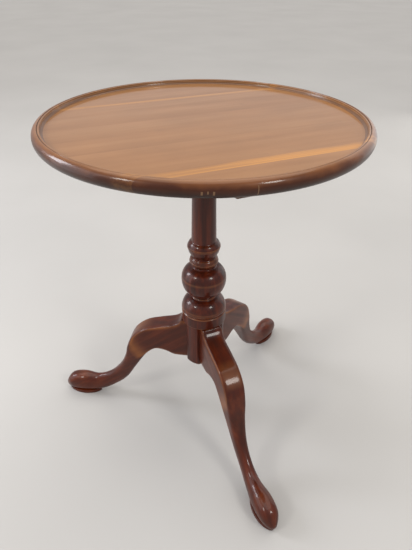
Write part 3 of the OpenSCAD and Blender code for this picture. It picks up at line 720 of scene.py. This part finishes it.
def make_leg(node, angle):
    """One leg with its pad, turned to its place round the column."""
    points, faces = capped(leg_rings(steps=160, ring=96))
    pad_points, pad_faces = capped(pad_rings(ring=72))
    faces = np.vstack([faces, pad_faces + len(points)])
    points = np.vstack([points, pad_points])
    slope = math.radians(-GRAIN_FALL)

    def timber(p):
        """The leg is sawn with its grain running down and out, from the column to the ankle."""
        q = turned_about(p, -angle)
        along = q[:, 0] * math.cos(slope) + q[:, 2] * math.sin(slope)
        across = q[:, 2] * math.cos(slope) - q[:, 0] * math.sin(slope)
        return np.column_stack([along + 7 * angle, q[:, 1] + angle, across])

    def wear_and_painted_light(p):
        """Rubs on the knee's crest and the foot. On the knee's arrises 0.9 exp(-(distance / width)^2). The
        knee's rub and the arrises' lines are also painted highlight.
        """
        q = turned_about(p, -angle)
        inside = LEG_T / 2 - np.abs(q[:, 1])
        knee = rub_and_sheen(q, 0.6, (KNEE_OUT, KNEE_UP), KNEE_RUB_AND_SHEEN) * np.clip(inside / SIDE_FADE, 0, 1)
        foot = rub_and_sheen(q, 0.3, (TOE_OUT, TOE_UP), TOE_RUB)
        arris = 0.9 * np.exp(-(((inside - ARRIS_IN) / ARRIS_W) ** 2)) * (q[:, 2] > KNEE_UP / 2)
        return np.clip(np.maximum(np.maximum(knee, foot), arris), 0, 1)

    made = merged(turned_about(points, angle), faces)
    place(made, f"{node}_carved", [STAINED_LEGS], "base", node, timber, wear_and_painted_light, 40)


# ---- the joiner's and founder's pieces, with their edges softened ----


def make_softened(node, width, finish, body, slot, grain):
    """The CAD node's own shape, its sharp edges bevelled by width mm. Its grain runs along axis grain[0]."""
    made = bmesh.new()
    made.from_mesh(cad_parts[node].data)
    bmesh.ops.remove_doubles(made, verts=made.verts, dist=1e-6)
    bmesh.ops.dissolve_limit(made, angle_limit=math.radians(1), verts=made.verts, edges=made.edges)
    edges = [e for e in made.edges if len(e.link_faces) == 2 and e.calc_face_angle(0) > math.radians(28)]
    how = {"segments": 2, "profile": 0.5, "affect": "EDGES", "clamp_overlap": True}
    bmesh.ops.bevel(made, geom=edges, offset=width * MM, **how)
    place(made, f"{node}_finished", [finish], body, node, lambda p: p[:, list(grain)], crease=30)


make_boards()
make_column()
for leg_node, leg_angle in LEG_ANGLES.items():
    make_leg(leg_node, leg_angle)

# Order of the axes in the timber, for a piece whose grain runs along X and one whose grain runs along Y
ALONG_X, ALONG_Y = (0, 1, 2), (1, 0, 2)
# The node, the width of its bevels, its finish, body and slot, and the way its grain runs
for softened in (
    ("tilt_block", 1.4, PLANED, "base", "under_wood", ALONG_Y),
    ("pivot_pin_left", 0.8, PLANED, "base", "under_wood", ALONG_X),
    ("pivot_pin_right", 0.8, PLANED, "base", "under_wood", ALONG_X),
    ("batten_left", 1.2, PLANED, "top", "under_wood", ALONG_Y),
    ("batten_right", 1.2, PLANED, "top", "under_wood", ALONG_Y),
    ("brace_plate", 0.4, IRON, "base", "iron", ALONG_X),
    ("brace_screws", 0.35, IRON, "base", "iron", ALONG_X),
    ("batten_screws", 0.35, IRON, "top", "iron", ALONG_X),
    ("catch_strike", 0.4, BRASS, "base", "brass", ALONG_X),
    ("strike_screws", 0.2, BRASS, "base", "brass", ALONG_X),
    ("catch_case", 0.4, BRASS, "top", "brass", ALONG_X),
    ("catch_screws", 0.2, BRASS, "top", "brass", ALONG_X),
    ("catch_bolt", 0.4, BRASS, "bolt", "brass", ALONG_X),
):
    make_softened(*softened)

# These keep the shape that the CAD gave them
for part, finish in (("tenon_wedge", PLANED), ("catch_spring", IRON), ("catch_knob", BRASS)):
    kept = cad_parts[part]
    kept.data.materials.clear()
    kept.data.materials.append(finish)


# ---- floor, light and camera, in metres ----

FLOOR_R = 40
# The point that the lights face
LIT = Vector((0, 0, 0.45))
CAMERA_AT = (-0.3210, -0.7637, 0.9468)
# The camera's heading from +Y towards +X, its pitch down and its roll, in degrees, and its lens in mm
CAMERA_TURN = (23.1, 34.07, 0.31)
CAMERA_LENS, CAMERA_SENSOR = 31.76, 36


def make_floor():
    """A plain pale floor, far wider than the table. From below it lets the light through."""
    made, tree = new_finish("pale_floor")
    spot = add(tree, "TexCoord", out="Object")
    cloud = add(tree, "TexNoise", {"Vector": spot, "Scale": 1.5, "Detail": 3.0})
    colour = add(tree, "ValToRGB", (cloud,), stops=[(0.3, "#B0AEAB"), (0.7, "#B5B3B0")])
    matt = add(tree, "BsdfPrincipled", {"Base Color": colour, "Roughness": 0.9, "Specular IOR Level": 0.2})
    below = add(tree, "NewGeometry", out="Backfacing")
    both = add(tree, "MixShader", (below, matt, add(tree, "BsdfTransparent")))
    add(tree, "OutputMaterial", {"Surface": both})
    mesh = bpy.data.meshes.new("floor")
    ends = [(FLOOR_R * x, FLOOR_R * y, 0) for x, y in ((-1, -1), (1, -1), (1, 1), (-1, 1))]
    mesh.from_pydata(ends, [], [(0, 1, 2, 3)])
    mesh.materials.append(made)
    floor = bpy.data.objects.new("floor", mesh)
    bpy.context.scene.collection.objects.link(floor)


def ray_to(azimuth, elevation):
    """The direction of a light seen from the table. Azimuth is in degrees from +Y towards +X."""
    a, e = math.radians(azimuth), math.radians(elevation)
    return Vector((math.sin(a) * math.cos(e), math.cos(a) * math.cos(e), math.sin(e)))


def add_light(name, kind, ray, distance, power, colour):
    """A light at a distance along the ray from LIT, facing it."""
    data = bpy.data.lights.new(name, kind)
    data.energy = power
    data.color = linear(colour)[:3]
    made = bpy.data.objects.new(name, data)
    made.location = LIT + distance * ray
    made.rotation_euler = (-ray).to_track_quat("-Z", "Y").to_euler()
    bpy.context.scene.collection.objects.link(made)
    return data


def make_panel(name, azimuth, elevation, distance, size, watts, colour):
    """A soft rectangular light, where size is its width and height in metres."""
    data = add_light(name, "AREA", ray_to(azimuth, elevation), distance, watts, colour)
    data.shape = "RECTANGLE"
    data.size, data.size_y = size


def make_sky(azimuth, elevation, spread, strength, colour):
    """Even light from above, spread degrees wide, as from a ceiling. It lights the far floor as the near."""
    data = add_light("sky", "SUN", ray_to(azimuth, elevation), 4, strength, colour)
    data.angle = math.radians(spread)


def make_room():
    """Even pale light from all round, as from the walls of a room, shown with no film-like contrast."""
    world = bpy.data.worlds.new("pale_room")
    world.use_nodes = True
    background = world.node_tree.nodes["Background"]
    background.inputs["Color"].default_value = linear("#E4E4E8")
    background.inputs["Strength"].default_value = 0.68
    bpy.context.scene.world = world
    bpy.context.scene.view_settings.view_transform = "Standard"


def make_camera():
    """The camera stands in front and to the left of the table, above its top, and looks down on it."""
    heading, pitch, roll = np.radians(CAMERA_TURN)
    forward = Vector((math.sin(heading), math.cos(heading), 0))
    ahead = math.cos(pitch) * forward - math.sin(pitch) * Vector((0, 0, 1))
    level = Vector((math.cos(heading), -math.sin(heading), 0))
    above = level.cross(ahead)
    right = math.cos(roll) * level + math.sin(roll) * above
    up = math.cos(roll) * above - math.sin(roll) * level
    data = bpy.data.cameras.new("camera")
    data.lens, data.sensor_width = CAMERA_LENS, CAMERA_SENSOR
    made = bpy.data.objects.new("camera", data)
    turn = Matrix((right, up, -ahead)).transposed().to_4x4()
    made.matrix_world = Matrix.Translation(CAMERA_AT) @ turn
    bpy.context.scene.collection.objects.link(made)
    bpy.context.scene.camera = made


make_floor()
# Name, azimuth, elevation, distance, size, watts and colour. The top would shade the column from lamps
# that stood much higher than these.
for panel in (
    ("window", -55, 24, 3.0, (0.7, 1.1), 32, "#F4F7FF"),
    ("left_lamp", -104, 36, 2.8, (0.45, 0.5), 16, "#FFFDF8"),
    ("right_lamp", 158, 38, 2.8, (0.5, 0.6), 20, "#FFFDF8"),
    ("left_softbox", -72, 14, 2.6, (1.8, 2.2), 18, "#F8F9FF"),
    ("right_softbox", 72, 14, 2.6, (1.8, 2.2), 10, "#FBFAF8"),
):
    make_panel(*panel)
make_sky(azimuth=20, elevation=76, spread=70, strength=1.9, colour="#FFFAF2")
make_room()
make_camera()
